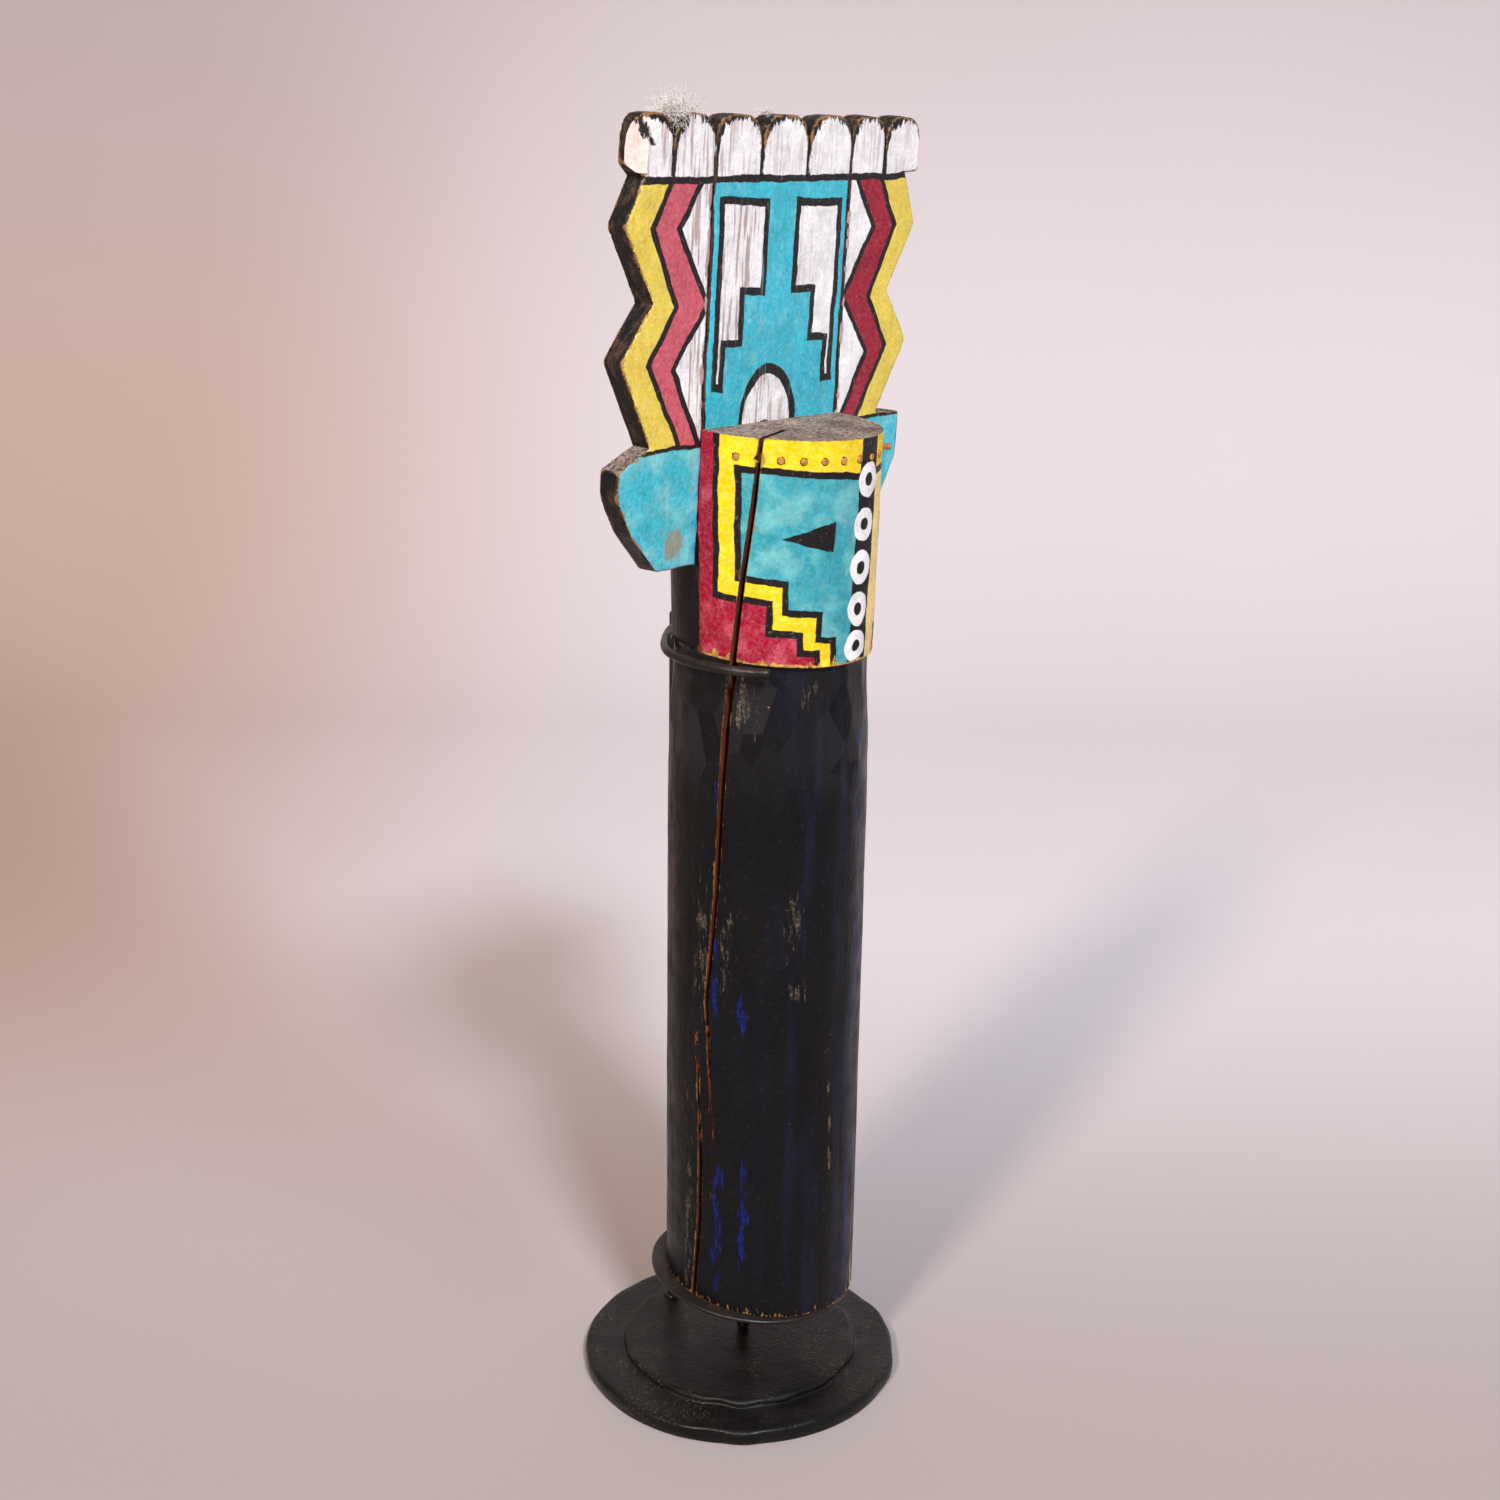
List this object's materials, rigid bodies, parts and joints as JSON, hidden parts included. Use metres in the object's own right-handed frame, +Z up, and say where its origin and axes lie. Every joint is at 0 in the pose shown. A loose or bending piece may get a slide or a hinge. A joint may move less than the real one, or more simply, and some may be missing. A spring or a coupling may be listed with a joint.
{
  "type": "prayer stick doll",
  "caption": "Upright split-log figure with a painted half-round mask, zigzag tablet, side ears and lobed cornice, held in a round wire stand.",
  "frame": {"origin": "centre of the round stand base, on its flat underside", "axes": "+Z up along the log, the mask faces -Y, +X is to the viewer's right"},
  "size_m": [0.1492, 0.117, 0.4538],
  "materials": {
    "log_paint": "matte worn paint",
    "board_paint": "matte worn paint",
    "peg_wood": "bare wood",
    "stand_black": "satin",
    "wire_black": "satin",
    "down": "soft"
  },
  "bodies": {
    "root": {"carved_log": "log_paint", "left_side_board": "board_paint", "right_side_board": "board_paint", "brow_peg_1": "peg_wood", "brow_peg_3": "peg_wood", "brow_peg_4": "peg_wood", "brow_peg_5": "peg_wood", "brow_peg_6": "peg_wood", "brow_peg_7": "peg_wood", "brow_peg_8": "peg_wood", "brow_peg_9": "peg_wood", "brow_peg_10": "peg_wood", "brow_peg_11": "peg_wood", "brow_peg_12": "peg_wood", "brow_peg_13": "peg_wood", "stand_base": "stand_black", "stand_pin": "wire_black", "stand_plate": "wire_black", "stand_upright": "wire_black", "stand_upper_hoop": "wire_black"}
  },
  "joints": []
}
